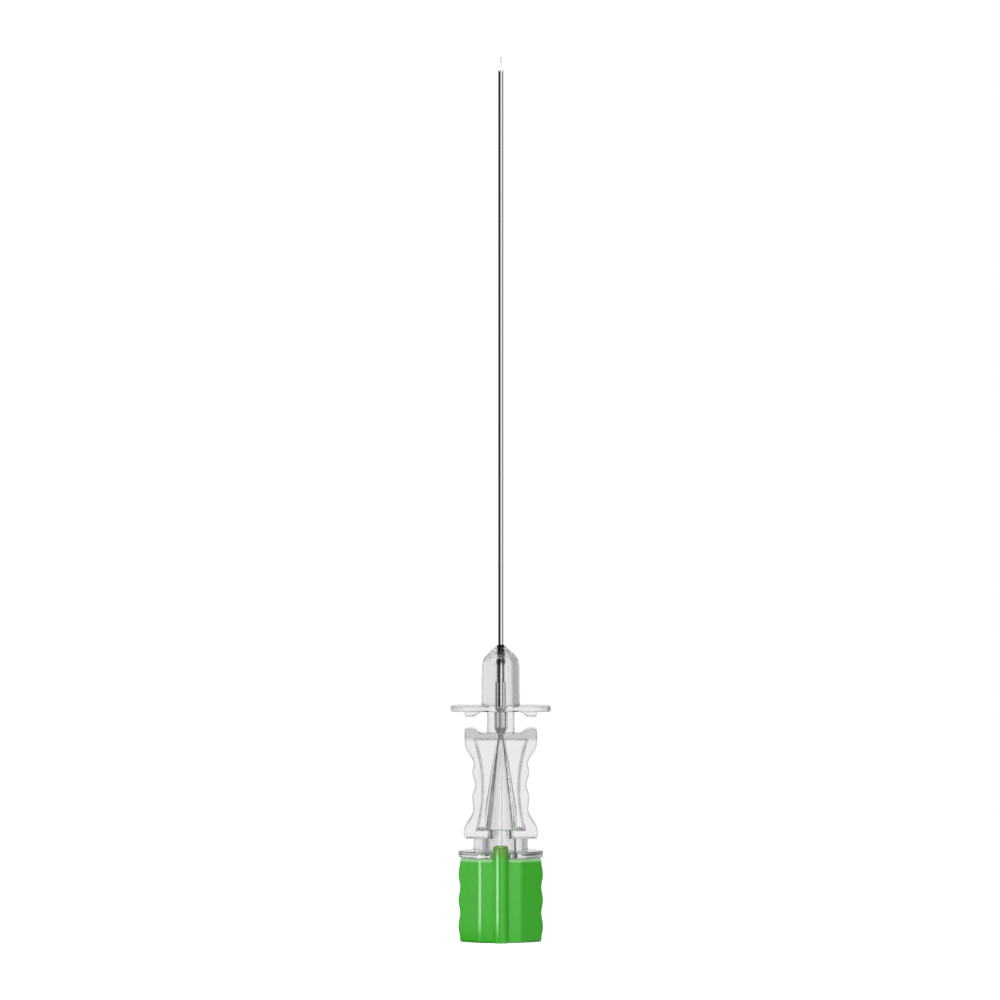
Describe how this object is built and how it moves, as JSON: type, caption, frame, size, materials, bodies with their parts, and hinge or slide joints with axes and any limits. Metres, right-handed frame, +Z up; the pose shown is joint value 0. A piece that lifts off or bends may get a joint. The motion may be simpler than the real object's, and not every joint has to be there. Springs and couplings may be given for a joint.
{
  "type": "spinal needle",
  "caption": "Long thin steel needle with a ground bevel in a clear winged hub, standing on the green keyed cap of its removable stylet.",
  "frame": {"origin": "on the needle's axis, in the flat base of the stylet cap that the needle stands on", "axes": "+Z up along the needle to its point, -Y towards the key on the cap and the ground face of the bevel, +X along the wing plate"},
  "size_m": [0.0154, 0.0132, 0.1351],
  "materials": {
    "needle_steel": "bright drawn stainless tube, polished",
    "clear_hub": "clear glossy moulding",
    "cured_adhesive": "clear cured resin",
    "wire_steel": "bright drawn stainless wire",
    "green_cap": "opaque green moulding, half gloss"
  },
  "bodies": {
    "stylet": {"stylet_cap": "green_cap", "stylet_wire": "wire_steel"},
    "needle": {"cannula_hub": "clear_hub", "cannula": "needle_steel", "adhesive": "cured_adhesive"}
  },
  "joints": [
    {"name": "stylet_withdrawal", "type": "slide", "parent": "stylet", "child": "needle", "axis": [0, 0, 1], "range_m": [0, 0.125]}
  ]
}
